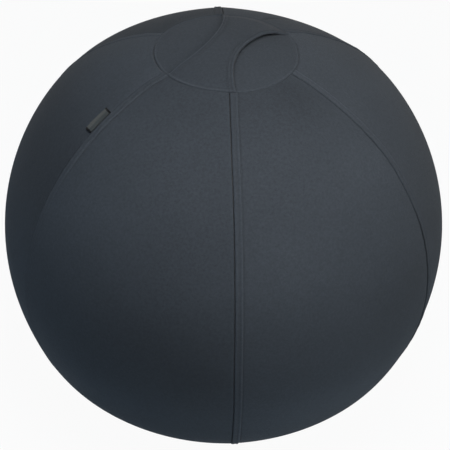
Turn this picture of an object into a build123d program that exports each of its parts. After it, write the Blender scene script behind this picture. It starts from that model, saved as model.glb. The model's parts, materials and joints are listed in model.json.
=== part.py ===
from build123d import *
import math
import os

os.makedirs("parts", exist_ok=True)

# Inflated form of the cover, in millimetres and degrees. A tilt is the angle of the cover's outward
# normal from straight up, 0 at the crown, 90 at the widest part and 180 at the foot.
ball_radius = 325.0  # outside of the cover at its widest
side_radius = 345.0  # bend of the flatter stretch round the widest part
shoulder_radius = 226.0  # tighter bend above and below that stretch
underside_radius = 480.0  # slack stretch that leads down to the base
foot_bend = 35.0  # bend between the underside and the flat foot
crown_tilt = 24.0  # where the crown turns into the shoulder
shoulder_tilt = 54.0  # where the shoulder turns into the side
side_tilt = 115.0  # where the side turns into the lower bend
hip_tilt = 137.0  # where the lower bend turns into the underside
cap_ring = 98.0  # radius of the seam round the top disc
base_ring = 98.0  # radius of the seam round the base disc

# Cloth and seams
cloth = 1.6  # thickness of the cover's fabric
sewn_gap = 0.3  # room left between two pieces that are sewn together
lap_width = 10.0  # topstitched seam allowance beside each seam
lap_height = 1.0  # how far that allowance stands proud
panel_names = [
    "front_right_panel",
    "right_panel",
    "back_right_panel",
    "back_left_panel",
    "left_panel",
    "front_left_panel",
]
panel_columns = 8  # flat strips across a panel, as cloth that is cut flat takes its curve
panel_bands = 16
cap_bands = 3
foot_bands = 2

# Carrying handle across the cap
handle_azimuth = -30.0  # direction of its front end, from the front seam
handle_waist = 49.0  # width at the middle
handle_gap = 9.3  # finger room over the top disc
handle_face_cloth = 1.7
handle_lining_cloth = 1.5
handle_end_gap = 0.5
handle_bands = 6

# Inner ball and what it holds
ball_clearance = 0.4  # between the cover and the inner ball
ball_wall = 1.0
ballast_depth = 16.0
valve_neck_radius = 7.5
valve_neck_length = 15.0
valve_bore_radius = 4.5
valve_flange_radius = 15.0
valve_flange = 1.5
valve_plug_length = 13.0
valve_plug_clearance = 0.05
valve_head_radius = 6.4
valve_head = 1.8

# Zip down the back seam
zip_seam = 180.0  # azimuth of the seam that it closes
zip_top_tilt = 58.0
zip_bottom_tilt = 112.0
zip_slot = 9.2  # width of the opening that it closes
tape_edge = 2.6  # from the middle of the zip to the tape's inner edge
tape_width = 11.0
tape_thickness = 0.6
tooth_pitch = 4.0
tooth_length = 1.7
tooth_depth = 2.2
tooth_overlap = 0.5  # how far a tooth reaches past the middle, between its neighbours
slider_tilt = 107.0  # place of the slider when the zip is closed
slider_length = 14.0
slider_plate = 1.2
slider_keel = 0.8
slider_rail = 1.0
slider_gap = 0.3  # room between the slider and the chain
slider_post = 2.2
bridge_width = 2.2
bridge_wall = 0.9
puller_bar_radius = 0.9
puller_bar_clearance = 0.25
puller_arm = 1.2
puller_length = 27.0
puller_width = 7.0
puller_thickness = 1.4
stop_length = 2.4
stop_height = 1.2

# Label tab in the left seam
label_seam = -60.0
label_tilt = 32.0
label_length = 38.0
label_width = 11.0
label_thickness = 1.0
label_lift = 0.4  # of the tab over the cloth


def normal(tilt):
    """Outward normal of the cover's outline, as (away from the axis, up)."""
    angle = math.radians(tilt)
    return math.sin(angle), math.cos(angle)


def next_centre(centre, radius, next_radius, tilt):
    """Centre of the arc that carries on tangentially where the normal has this tilt."""
    out, up = normal(tilt)
    step = radius - next_radius
    return centre[0] + step * out, centre[1] + step * up


# Arcs of the outline, first from the level of the widest part
side_centre = (ball_radius - side_radius, 0.0)
shoulder_centre = next_centre(side_centre, side_radius, shoulder_radius, shoulder_tilt)
crown_radius = shoulder_radius + shoulder_centre[0] / normal(crown_tilt)[0]
crown_centre = next_centre(shoulder_centre, shoulder_radius, crown_radius, crown_tilt)
hip_centre = next_centre(side_centre, side_radius, shoulder_radius, side_tilt)
underside_centre = next_centre(hip_centre, shoulder_radius, underside_radius, hip_tilt)
cap_tilt = math.degrees(math.asin(cap_ring / crown_radius))
base_tilt = 180.0 - math.degrees(math.asin((base_ring - underside_centre[0]) / underside_radius))
foot_centre = next_centre(underside_centre, underside_radius, foot_bend, base_tilt)
middle_height = foot_bend - foot_centre[1]  # of the widest part over the floor
bends = [
    (crown_tilt, crown_radius, crown_centre),
    (shoulder_tilt, shoulder_radius, shoulder_centre),
    (side_tilt, side_radius, side_centre),
    (hip_tilt, shoulder_radius, hip_centre),
    (base_tilt, underside_radius, underside_centre),
    (180.0, foot_bend, foot_centre),
]


def outline_point(tilt, inset=0.0):
    """Point of the cover's outline, as (distance from the axis, height), this far under its face."""
    end, radius, centre = next(bend for bend in bends if tilt <= bend[0] + 1e-9)
    out, up = normal(tilt)
    return centre[0] + (radius - inset) * out, middle_height + centre[1] + (radius - inset) * up


def tilts_between(first, last, bands):
    """Evenly spaced tilts from first to last."""
    return [first + (last - first) * step / bands for step in range(bands + 1)]


def skin(tilts, outer_inset, inner_inset):
    """Closed outline of a wall that follows the cover between two depths under its face."""
    outer = [outline_point(tilt, outer_inset) for tilt in tilts]
    inner = [outline_point(tilt, inner_inset) for tilt in tilts]
    return outer + inner[::-1]


def seam_plane(azimuth):
    """Upright plane through the axis, its x away from the axis at this azimuth and its y up."""
    out, along = normal(azimuth)
    return Plane(origin=(0, 0, 0), x_dir=(out, -along, 0), z_dir=(-along, -out, 0))


def plan_point(radius, azimuth):
    """Point seen from above, at this azimuth from the front seam."""
    out, along = normal(azimuth)
    return radius * out, -radius * along


def tilt_of(length, radius):
    """Change of tilt along this length of an arc."""
    return math.degrees(length / radius)


def facet_column(outline, azimuth):
    """One flat strip of a round form: its outline, drawn in mid-strip, out to the planes either side."""
    with BuildPart() as column:
        with BuildSketch(seam_plane(azimuth)):
            with BuildLine():
                Polyline(*[(radius * column_middle, height) for radius, height in outline], close=True)
            make_face()
        extrude(amount=ball_radius, both=True)
        split(bisect_by=seam_plane(azimuth - column_angle / 2), keep=Keep.BOTTOM)
        split(bisect_by=seam_plane(azimuth + column_angle / 2), keep=Keep.TOP)
    return column.part


def facet_columns(outline, first, count):
    """Neighbouring strips of a round form, the first of them starting at this azimuth."""
    column = facet_column(outline, first + column_angle / 2)
    return [column.rotate(Axis.Z, index * column_angle) for index in range(count)]


# Where the bands of the cover, the cap and the foot begin and end
panel_tilts = tilts_between(
    cap_tilt + tilt_of(sewn_gap / 2, crown_radius),
    base_tilt - tilt_of(sewn_gap / 2, underside_radius),
    panel_bands,
)
cap_tilts = tilts_between(0.0, cap_tilt - tilt_of(sewn_gap / 2, crown_radius), cap_bands)
foot_tilts = tilts_between(base_tilt, 180.0, foot_bands)
panel_angle = 360.0 / len(panel_names)
column_angle = panel_angle / panel_columns
column_middle = normal(column_angle / 2)[1]  # part of a radius that is left in the middle of a strip
round_columns = len(panel_names) * panel_columns
ball_inset = cloth + ball_clearance

# Opening in the two back panels that the zip closes, with the bed that its tapes lie on
zip_centre = (side_centre[0], middle_height)
tape_reach = tape_edge + tape_width


def zip_band(offset, low, high, top_tilt, bottom_tilt):
    """Face between two heights over the cover, along the back seam, this far beside its plane."""
    with BuildSketch(Plane.YZ.offset(offset)) as band:
        with BuildLine():
            under = CenterArc(zip_centre, side_radius + low, 90 - bottom_tilt, bottom_tilt - top_tilt)
            over = CenterArc(zip_centre, side_radius + high, 90 - bottom_tilt, bottom_tilt - top_tilt)
            Line(under @ 0, over @ 0)
            Line(under @ 1, over @ 1)
        make_face()
    return band.sketch


def zip_plane(tilt):
    """Plane on the back seam, its x across the zip, its y down along it and its z out."""
    out, up = normal(tilt)
    origin = (0, zip_centre[0] + side_radius * out, zip_centre[1] + side_radius * up)
    return Plane(origin=origin, x_dir=(1, 0, 0), z_dir=(0, out, up))


bed_half = tape_reach + slider_gap
with BuildPart() as zip_cut:
    extrude(zip_band(-zip_slot / 2, -2 * ball_inset, ball_inset, zip_top_tilt, zip_bottom_tilt), amount=zip_slot)
    extrude(zip_band(-bed_half, 0, 2 * lap_height, zip_top_tilt, zip_bottom_tilt), amount=2 * bed_half)

# Six like panels, each with the raised seam allowance along the seam where it starts
with BuildPart() as lap:
    add(facet_columns(skin(panel_tilts, -lap_height, cloth / 2), 0, 1))
    split(bisect_by=seam_plane(0).offset(-lap_width), keep=Keep.TOP)
with BuildPart() as gore:
    add(facet_columns(skin(panel_tilts, 0, cloth), 0, panel_columns))
    add(lap.part)
    split(bisect_by=seam_plane(0).offset(-sewn_gap / 2), keep=Keep.BOTTOM)
    split(bisect_by=seam_plane(panel_angle).offset(sewn_gap / 2), keep=Keep.TOP)
for index, name in enumerate(panel_names):
    seam = index * panel_angle
    with BuildPart() as panel:
        add(gore.part.rotate(Axis.Z, seam))
        if zip_seam in (seam, seam + panel_angle):
            add(zip_cut.part, mode=Mode.SUBTRACT)
    panel.part.label = name
    export_step(panel.part, f"parts/{name}.step")

# Round that closes the cover under the handle
with BuildPart() as top_disc:
    add(facet_columns(skin(cap_tilts, 0, cloth), 0, round_columns))
top_disc.part.label = "top_disc"
export_step(top_disc.part, "parts/top_disc.step")

# Non-slip round that the ball stands on
base_outer = [outline_point(tilt) for tilt in foot_tilts]
base_inner = [outline_point(tilt, cloth) for tilt in foot_tilts]
base_outline = base_outer + [(0, 0), (0, cloth)] + base_inner[::-1]
with BuildPart() as base_disc:
    add(facet_columns(base_outline, 0, round_columns))
base_disc.part.label = "base_disc"
export_step(base_disc.part, "parts/base_disc.step")

# Two layers of the handle: an arch over the cap, cut to a waisted outline whose ends fill a panel's width
handle_top = outline_point(0)[1] + handle_gap
handle_foot = outline_point(cap_tilt)[1] + sewn_gap
handle_drop = handle_top - handle_foot
handle_bow = (cap_ring**2 + handle_drop**2) / (2 * handle_drop)
handle_turn = math.degrees(math.asin(cap_ring / handle_bow))
handle_reach = cap_ring - handle_end_gap
face_base = handle_lining_cloth + 0.1 * sewn_gap


def handle_arch(lift):
    """Outline of the handle from its middle to its sewn end, this far over its underside."""
    points = []
    for turn in tilts_between(0.0, handle_turn, handle_bands):
        out, up = normal(turn)
        points.append((handle_bow * out, handle_top + lift - handle_bow * (1 - up)))
    return points


def handle_plan():
    """Waisted outline of the handle, seen from above."""
    half_panel = panel_angle / 2
    for end in (handle_azimuth, handle_azimuth + 180):
        start = plan_point(handle_reach, end - half_panel)
        corner = plan_point(handle_reach, end + half_panel)
        waist = plan_point(handle_waist / 2, end + 90)
        far = plan_point(handle_reach, end + 180 - half_panel)
        ThreePointArc(start, plan_point(handle_reach, end), corner)
        ThreePointArc(corner, waist, far)


for name, low, high in (
    ("handle_lining", 0.0, handle_lining_cloth),
    ("handle_face", face_base, face_base + handle_face_cloth),
):
    with BuildPart() as handle_layer:
        add(facet_columns(handle_arch(high) + handle_arch(low)[::-1], 0, round_columns))
        with BuildSketch(Plane.XY.offset(handle_foot - handle_drop)):
            with BuildLine():
                handle_plan()
            make_face()
        extrude(amount=4 * handle_drop, mode=Mode.INTERSECT)
    handle_layer.part.label = name
    export_step(handle_layer.part, f"parts/{name}.step")

# Folded tab that hangs out of the left seam, over the left panel
label_out, label_up = normal(label_tilt)
label_away = seam_plane(label_seam)
label_radius, label_height = outline_point(label_tilt)
label_origin = label_away.from_local_coords((label_radius, label_height, 0))
label_normal = label_away.x_dir * label_out + Vector(0, 0, label_up)
label_plane = Plane(origin=label_origin, x_dir=label_away.z_dir, z_dir=label_normal)
with BuildPart() as side_label:
    with BuildSketch(label_plane.offset(label_lift)):
        with Locations((label_thickness / 2 + label_width / 2, 0)):
            Rectangle(label_width, label_length)
    extrude(amount=label_thickness)
    fold = side_label.edges().filter_by(Axis(label_plane.origin, label_plane.y_dir))
    outer_fold = fold.sort_by(Axis(label_plane.origin, label_plane.x_dir))[-2:]
    fillet(outer_fold, label_thickness * 0.4)
side_label.part.label = "side_label"
export_step(side_label.part, "parts/side_label.step")

# Inflated inner ball, with the hole that its valve is welded into
band_tilt = panel_tilts[1] - panel_tilts[0]
band_sag = side_radius * (1 - normal(band_tilt / 2)[1])
ball_tilts = cap_tilts + panel_tilts + foot_tilts[1:]


def ball_wall_points(inset):
    """Outline of the inner ball this far under the cover's face, from its top to its foot."""
    points = [outline_point(tilt, inset) for tilt in ball_tilts]
    return points + [(0, points[-1][1])]


valve_plane = Plane(origin=(0, 0, middle_height), x_dir=(1, 0, 0), z_dir=(0, 1, 0))
ball_outline = ball_wall_points(ball_inset) + ball_wall_points(ball_inset + ball_wall)[::-1]
with BuildPart() as inner_ball:
    add(facet_columns(ball_outline, 0, round_columns))
    with BuildSketch(valve_plane.offset(ball_radius / 2)):
        Circle(valve_neck_radius + sewn_gap)
    extrude(amount=ball_radius, mode=Mode.SUBTRACT)
inner_ball.part.label = "inner_ball"
export_step(inner_ball.part, "parts/inner_ball.step")

# Valve: a flanged neck welded into the wall, and the stopper that sits flush in it
strip_sag = ball_radius * (1 - column_middle)
valve_mouth = ball_radius - cloth - band_sag - strip_sag - sewn_gap
flange_sag = valve_flange_radius**2 / (2 * ball_radius)
flange_top = ball_radius - ball_inset - ball_wall - band_sag - strip_sag - flange_sag - sewn_gap
with BuildPart() as valve_seat:
    with BuildSketch(valve_plane.offset(valve_mouth)):
        Circle(valve_neck_radius)
    extrude(amount=-valve_neck_length)
    with BuildSketch(valve_plane.offset(flange_top)):
        Circle(valve_flange_radius)
    extrude(amount=-valve_flange)
    with BuildSketch(valve_plane.offset(valve_mouth)):
        Circle(valve_bore_radius)
    extrude(amount=-valve_neck_length, mode=Mode.SUBTRACT)
    with BuildSketch(valve_plane.offset(valve_mouth)):
        Circle(valve_head_radius + sewn_gap)
    extrude(amount=-valve_head - sewn_gap, mode=Mode.SUBTRACT)
valve_seat.part.label = "valve_seat"
export_step(valve_seat.part, "parts/valve_seat.step")

with BuildPart() as valve_plug:
    with BuildSketch(valve_plane.offset(valve_mouth - sewn_gap)):
        Circle(valve_head_radius)
    extrude(amount=-valve_head)
    with BuildSketch(valve_plane.offset(valve_mouth - sewn_gap)):
        Circle(valve_bore_radius - valve_plug_clearance)
    extrude(amount=-valve_plug_length)
    tip = valve_plug.faces().sort_by(Axis.Y)[0]
    chamfer(tip.edges(), valve_bore_radius / 4)
valve_plug.part.label = "valve_plug"
export_step(valve_plug.part, "parts/valve_plug.step")

# Loose weight that lies in the bottom of the inner ball
ballast_inset = ball_inset + ball_wall + sewn_gap
ballast_level = ballast_inset + ballast_depth
bed = [outline_point(tilt, ballast_inset) for tilt in panel_tilts[panel_bands // 2 :]]
bed += [outline_point(tilt, ballast_inset) for tilt in foot_tilts[1:]]
with BuildPart() as ballast:
    add(facet_columns(bed + [(0, bed[-1][1]), (0, bed[0][1])], 0, round_columns))
    split(bisect_by=Plane.XY.offset(ballast_level), keep=Keep.BOTTOM)
ballast.part.label = "ballast"
export_step(ballast.part, "parts/ballast.step")

# Zip tapes on the outside of the two back panels, either side of the opening
tape_low = sewn_gap
tape_high = tape_low + tape_thickness
tape_middle = (tape_low + tape_high) / 2
tooth_low = tape_middle - tooth_depth / 2
tooth_high = tape_middle + tooth_depth / 2
chain_top = zip_top_tilt + tilt_of(3 * stop_length, side_radius)
chain_bottom = slider_tilt + tilt_of(slider_length / 2 - slider_post - 2 * slider_gap - tooth_length, side_radius)
pitch_tilt = tilt_of(tooth_pitch, side_radius)
tooth_count = int((chain_bottom - chain_top) / pitch_tilt)
for name, side, shift in (("left", -1, 0.0), ("right", 1, 0.5)):
    with BuildPart() as zip_tape:
        tape_face = zip_band(side * tape_edge, tape_low, tape_high, zip_top_tilt, zip_bottom_tilt)
        extrude(tape_face, amount=side * tape_width)
    zip_tape.part.label = f"zip_tape_{name}"
    export_step(zip_tape.part, f"parts/zip_tape_{name}.step")
    with BuildPart() as zip_teeth:
        with BuildSketch(Plane.YZ.offset(side * tape_edge)):
            with Locations(zip_centre):
                with PolarLocations(
                    side_radius + tape_middle,
                    tooth_count,
                    start_angle=90 - chain_bottom + shift * pitch_tilt,
                    angular_range=tooth_count * pitch_tilt,
                ):
                    Rectangle(tooth_depth, tooth_length)
        extrude(amount=-side * (tape_edge + tooth_overlap))
    zip_teeth.part.label = f"zip_teeth_{name}"
    export_step(zip_teeth.part, f"parts/zip_teeth_{name}.step")

# Slider round the chain: an outer plate with a bridge, an inner plate, their rails and the parting post
slider_frame = zip_plane(slider_tilt)
rail_inner = tape_edge + 1.5 * slider_gap
slider_half = rail_inner + slider_rail
plate_low = tooth_high + slider_gap
plate_high = plate_low + slider_plate
keel_high = tooth_low - slider_gap
bar_height = plate_high + puller_bar_radius + 2 * puller_bar_clearance
bridge_hole = puller_bar_radius + puller_bar_clearance
bridge_top = bar_height + bridge_hole + bridge_wall
bridge_half = bridge_hole + 2.5 * bridge_wall
side_frame = Plane(origin=slider_frame.origin, x_dir=slider_frame.y_dir, z_dir=(1, 0, 0))
with BuildPart() as zip_slider:
    with BuildSketch(slider_frame.offset(plate_low)):
        RectangleRounded(2 * slider_half, slider_length, slider_rail)
    extrude(amount=slider_plate)
    with BuildSketch(slider_frame.offset(keel_high)):
        RectangleRounded(2 * slider_half, slider_length, slider_rail)
    extrude(amount=-slider_keel)
    with BuildSketch(slider_frame.offset(plate_low)):
        with GridLocations(2 * rail_inner + slider_rail, 0, 2, 1):
            Rectangle(slider_rail, slider_length - 2 * slider_rail)
    extrude(amount=-(plate_low - tape_high - slider_gap))
    with BuildSketch(slider_frame.offset(keel_high)):
        with GridLocations(2 * rail_inner + slider_rail, 0, 2, 1):
            Rectangle(slider_rail, slider_length - 2 * slider_rail)
    extrude(amount=tape_low - slider_gap - keel_high)
    with BuildSketch(slider_frame.offset(keel_high)):
        with Locations((0, slider_length / 2 - slider_post / 2)):
            Rectangle(slider_post, slider_post)
    extrude(amount=plate_low - keel_high)
    with BuildSketch(side_frame.offset(-bridge_width / 2)):
        with BuildLine():
            Polyline(
                (-bridge_half - bridge_wall, plate_high),
                (-bridge_half + bridge_wall, bridge_top),
                (bridge_half - bridge_wall, bridge_top),
                (bridge_half + bridge_wall, plate_high),
                close=True,
            )
        make_face()
        with Locations((0, bar_height)):
            Circle(bridge_hole, mode=Mode.SUBTRACT)
    extrude(amount=bridge_width)
zip_slider.part.label = "zip_slider"
export_step(zip_slider.part, "parts/zip_slider.step")

# Puller that hangs straight down from a bar under the slider's bridge
puller_pivot = side_frame.from_local_coords((0, bar_height, 0))
puller_plane = Plane(origin=puller_pivot, x_dir=(1, 0, 0), z_dir=(0, 1, 0))
arm_inner = bridge_width / 2 + 1.5 * slider_gap
arm_outer = arm_inner + puller_arm
window_length = bridge_half + 2 * bridge_wall + bar_height - plate_high
with BuildPart() as zip_puller:
    with BuildSketch(puller_plane.offset(-puller_thickness / 2)):
        with GridLocations(arm_inner + arm_outer, 0, 2, 1):
            with Locations((0, (window_length + puller_width / 2) / 2)):
                Rectangle(puller_arm, window_length + puller_width / 2)
        with Locations((0, (window_length + puller_length) / 2)):
            RectangleRounded(puller_width, puller_length - window_length, puller_width / 3)
        with Locations((0, puller_length - puller_width / 2)):
            Circle(puller_width / 5, mode=Mode.SUBTRACT)
    extrude(amount=puller_thickness)
    with BuildSketch(Plane.YZ.offset(-arm_outer)):
        with Locations((puller_pivot.Y, puller_pivot.Z)):
            Circle(puller_bar_radius)
    extrude(amount=2 * arm_outer)
zip_puller.part.label = "zip_puller"
export_step(zip_puller.part, "parts/zip_puller.step")

# Stops: one on each tape under the slider, and one across both tapes at the other end
lower_stop_tilt = slider_tilt + tilt_of((slider_length + stop_length) / 2 + slider_gap, side_radius)
upper_stop_tilt = zip_top_tilt + tilt_of(1.5 * stop_length, side_radius)
with BuildPart() as zip_lower_stops:
    with BuildSketch(zip_plane(lower_stop_tilt).offset(tape_high)):
        with GridLocations(2 * tape_edge + slider_half, 0, 2, 1):
            Rectangle(slider_half, stop_length)
    extrude(amount=stop_height)
zip_lower_stops.part.label = "zip_lower_stops"
export_step(zip_lower_stops.part, "parts/zip_lower_stops.step")

with BuildPart() as zip_upper_stop:
    with BuildSketch(zip_plane(upper_stop_tilt).offset(tape_high)):
        Rectangle(2 * (tape_edge + slider_half), stop_length)
    extrude(amount=stop_height)
zip_upper_stop.part.label = "zip_upper_stop"
export_step(zip_upper_stop.part, "parts/zip_upper_stop.step")

# Figures that the motions are stated from
slider_top_tilt = upper_stop_tilt + tilt_of((slider_length + stop_length) / 2 + slider_gap, side_radius)
print("middle height", round(middle_height, 3), "crown height", round(outline_point(0)[1], 3))
print("handle top", round(handle_top + face_base + handle_face_cloth, 3), "underside", round(handle_top, 3))
print("zip axis y, z", zip_centre, "slider travel", round(slider_tilt - slider_top_tilt, 3))
print("puller pivot", puller_pivot)
print("label origin", label_origin, "axis", label_plane.y_dir, "normal", label_plane.z_dir)
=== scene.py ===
import bpy
import bmesh
import json
import math
from mathutils import Matrix, Vector

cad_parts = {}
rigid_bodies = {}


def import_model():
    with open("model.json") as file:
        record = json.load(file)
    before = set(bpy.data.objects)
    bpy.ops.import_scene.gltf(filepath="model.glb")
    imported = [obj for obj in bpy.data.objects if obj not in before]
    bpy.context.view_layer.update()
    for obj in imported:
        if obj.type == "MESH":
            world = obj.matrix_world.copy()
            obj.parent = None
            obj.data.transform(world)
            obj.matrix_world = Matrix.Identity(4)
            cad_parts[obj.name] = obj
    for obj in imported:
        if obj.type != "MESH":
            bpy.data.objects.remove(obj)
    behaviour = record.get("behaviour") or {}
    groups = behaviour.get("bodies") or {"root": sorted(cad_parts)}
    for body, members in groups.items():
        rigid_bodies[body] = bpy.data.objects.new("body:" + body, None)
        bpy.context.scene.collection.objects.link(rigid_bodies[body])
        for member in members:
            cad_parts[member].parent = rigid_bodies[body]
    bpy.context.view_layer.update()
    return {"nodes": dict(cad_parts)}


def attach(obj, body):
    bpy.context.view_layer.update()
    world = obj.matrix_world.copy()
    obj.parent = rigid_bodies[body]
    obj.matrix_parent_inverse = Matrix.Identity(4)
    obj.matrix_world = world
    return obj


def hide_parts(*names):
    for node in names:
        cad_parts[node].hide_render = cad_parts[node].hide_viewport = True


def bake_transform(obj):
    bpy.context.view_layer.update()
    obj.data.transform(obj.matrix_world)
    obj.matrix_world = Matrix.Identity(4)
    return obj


for leftover in list(bpy.context.scene.objects):
    bpy.data.objects.remove(leftover)
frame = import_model()
nodes = frame["nodes"]
print("frame loaded with", len(nodes), "nodes")


# small helpers for eased steps, and for tables of them by tilt, azimuth or length
always, never = (-400, -399), (400, 401)


def ease(low, high, value):
    share = min(1.0, max(0.0, (value - low) / (high - low)))
    return share * share * (3 - 2 * share)


def bell(middle, width, value):
    return math.exp(-(((value - middle) / width) ** 2))


def sumTerms(terms, value):
    # a term is an amount with where it eases in and where it eases out, or with the middle and width of a bell
    total = 0.0
    for amount, first, second in terms:
        if isinstance(first, tuple):
            total += amount * ease(*first, value) * (1 - ease(*second, value))
        else:
            total += amount * bell(first, second, value)
    return total


def normalAt(tilt):
    angle = math.radians(tilt)
    return math.sin(angle), math.cos(angle)


# outline of the inflated cover, the same arcs as the solids, in metres
ballForm = {
    "ballRadius": 0.325,
    "sideRadius": 0.345,
    "shoulderRadius": 0.226,
    "undersideRadius": 0.480,
    "footBend": 0.035,
    "crownTilt": 24.0,
    "shoulderTilt": 54.0,
    "sideTilt": 115.0,
    "hipTilt": 137.0,
    "capRing": 0.098,
    "baseRing": 0.098,
    "seamCount": 6,
    "seamSpacing": 60.0,
    "crownRaise": 0.0040,  # the cap stands a little proud of the arcs
    "crownFall": (15.0, 27.0),
}


def carryOn(centre, radius, nextRadius, tilt):
    out, up = normalAt(tilt)
    return centre[0] + (radius - nextRadius) * out, centre[1] + (radius - nextRadius) * up


def makeBends(form):
    side = (form["ballRadius"] - form["sideRadius"], 0.0)
    shoulder = carryOn(side, form["sideRadius"], form["shoulderRadius"], form["shoulderTilt"])
    crownRadius = form["shoulderRadius"] + shoulder[0] / normalAt(form["crownTilt"])[0]
    crown = carryOn(shoulder, form["shoulderRadius"], crownRadius, form["crownTilt"])
    hip = carryOn(side, form["sideRadius"], form["shoulderRadius"], form["sideTilt"])
    underside = carryOn(hip, form["shoulderRadius"], form["undersideRadius"], form["hipTilt"])
    baseTilt = 180 - math.degrees(math.asin((form["baseRing"] - underside[0]) / form["undersideRadius"]))
    foot = carryOn(underside, form["undersideRadius"], form["footBend"], baseTilt)
    form["capTilt"] = math.degrees(math.asin(form["capRing"] / crownRadius))
    form["baseTilt"] = baseTilt
    form["middleHeight"] = form["footBend"] - foot[1]
    return [
        (form["crownTilt"], crownRadius, crown),
        (form["shoulderTilt"], form["shoulderRadius"], shoulder),
        (form["sideTilt"], form["sideRadius"], side),
        (form["hipTilt"], form["shoulderRadius"], hip),
        (baseTilt, form["undersideRadius"], underside),
        (180.0, form["footBend"], foot),
    ]


bends = makeBends(ballForm)


def outlinePoint(tilt, lift=0.0):
    for end, radius, centre in bends:
        if tilt <= end + 1e-9:
            break
    out, up = normalAt(tilt)
    raised = ballForm["crownRaise"] * (1 - ease(*ballForm["crownFall"], tilt))
    reach = radius + lift
    return centre[0] + reach * out, ballForm["middleHeight"] + raised + centre[1] + reach * up


def aroundAxis(radius, height, azimuth):
    angle = math.radians(azimuth)  # 0 is the front seam, growing to the right
    return Vector((radius * math.sin(angle), -radius * math.cos(angle), height))


def makeRun(first, last, steps=2400):
    # tilts and the length of cloth from the first of them
    run = [(first, 0.0)]
    before = outlinePoint(first)
    for step in range(1, steps + 1):
        tilt = first + (last - first) * step / steps
        here = outlinePoint(tilt)
        run.append((tilt, run[-1][1] + math.dist(before, here)))
        before = here
    return run


def tiltAlong(run, length):
    low, high = 0, len(run) - 1
    while high - low > 1:
        middle = (low + high) // 2
        if run[middle][1] <= length:
            low = middle
        else:
            high = middle
    share = (length - run[low][1]) / (run[high][1] - run[low][1])
    return run[low][0] + share * (run[high][0] - run[low][0])


# the cap's ring is drawn out of round by the front seams and tucked in elsewhere, and the cloth round it follows
ringPull = {
    "out": [(0.0036, (-12, 14), (62, 92)), (0.0013, (-66, -44), (-12, 14))],
    "tuck": [(0.0014, (-128, -108), (-66, -56)), (0.0006, (0, 10), (95, 110)), (0.0011, 2, 5)],
    "tuckWidth": 0.0013,
    "lowest": 0.55,
    "inside": (0.050, 0.094),
    "outside": (0.102, 0.160),
    "slopeRadius": 0.36,
}


def drawnRing(spot):
    inside, outside = ringPull["inside"], ringPull["outside"]
    reach = math.hypot(spot.x, spot.y)
    if spot.z < ringPull["lowest"] or reach < inside[0] or reach > outside[1]:
        return spot
    azimuth = math.degrees(math.atan2(spot.x, -spot.y))
    pull = sumTerms(ringPull["out"], azimuth) * ease(*inside, reach) * (1 - ease(*outside, reach))
    tucked = sumTerms(ringPull["tuck"], azimuth) * bell(ballForm["capRing"], ringPull["tuckWidth"], reach)
    downhill = Vector((spot.x / reach, spot.y / reach, -reach / ringPull["slopeRadius"]))
    return spot + downhill * pull - Vector((0, 0, tucked))


panelRun = makeRun(ballForm["capTilt"], ballForm["baseTilt"])
panelLength = panelRun[-1][1]
print("cloth of a panel runs", round(panelLength, 4), "m from ring to ring")


# shader sockets that can be added and multiplied like numbers
class Wire:
    def __init__(self, finish, socket):
        self.finish = finish
        self.socket = socket

    def maths(self, operation, first, second):
        return self.finish.node("ShaderNodeMath", {"operation": operation}, {0: first, 1: second})

    def __add__(self, other):
        return self.maths("ADD", self, other)

    def __sub__(self, other):
        return self.maths("SUBTRACT", self, other)

    def __rsub__(self, other):
        return self.maths("SUBTRACT", other, self)

    def __mul__(self, other):
        return self.maths("MULTIPLY", self, other)

    def wave(self):
        return self.maths("SINE", self, 0.0)

    def size(self):
        return self.maths("ABSOLUTE", self, 0.0)

    def above(self, level):
        return self.maths("GREATER_THAN", self, level)

    def beside(self, output):
        # another output of the same node
        return Wire(self.finish, self.socket.node.outputs[output])


class Finish:
    def __init__(self, name, world=None):
        self.block = world or bpy.data.materials.new(name)
        self.block.use_nodes = True
        self.tree = self.block.node_tree
        self.tree.nodes.clear()

    def node(self, kind, settings, values, output=0):
        made = self.tree.nodes.new(kind)
        for name, value in settings.items():
            setattr(made, name, value)
        for key, value in values.items():
            if isinstance(value, Wire):
                self.tree.links.new(value.socket, made.inputs[key])
            elif value is not None:
                made.inputs[key].default_value = value
        return Wire(self, made.outputs[output]) if made.outputs else None

    def ownPlace(self):
        return self.node("ShaderNodeTexCoord", {}, {}, "Object")

    def clothMap(self):
        grain = self.node("ShaderNodeUVMap", {"uv_map": "clothGrain"}, {})
        across = self.node("ShaderNodeSeparateXYZ", {}, {0: grain})
        return across, across.beside(1)

    def noise(self, place, scale, detail, roughness=None):
        values = {"Vector": place, "Scale": scale, "Detail": detail, "Roughness": roughness}
        return self.node("ShaderNodeTexNoise", {}, values)

    def mix(self, share, first, second, blend="MIX"):
        settings = {"data_type": "RGBA", "blend_type": blend}
        return self.node("ShaderNodeMix", settings, {0: share, 6: first, 7: second}, 2)

    def shaded(self, colour, shade):
        grey = self.node("ShaderNodeCombineXYZ", {}, {0: shade, 1: shade, 2: shade})
        return self.mix(1.0, colour, grey, "MULTIPLY")

    def bump(self, strength, distance, height):
        return self.node("ShaderNodeBump", {}, {"Strength": strength, "Distance": distance, "Height": height})

    def surface(self, values):
        return self.close(self.node("ShaderNodeBsdfPrincipled", {}, values))

    def close(self, shader):
        self.node("ShaderNodeOutputMaterial", {}, {"Surface": shader})
        return self.block


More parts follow.
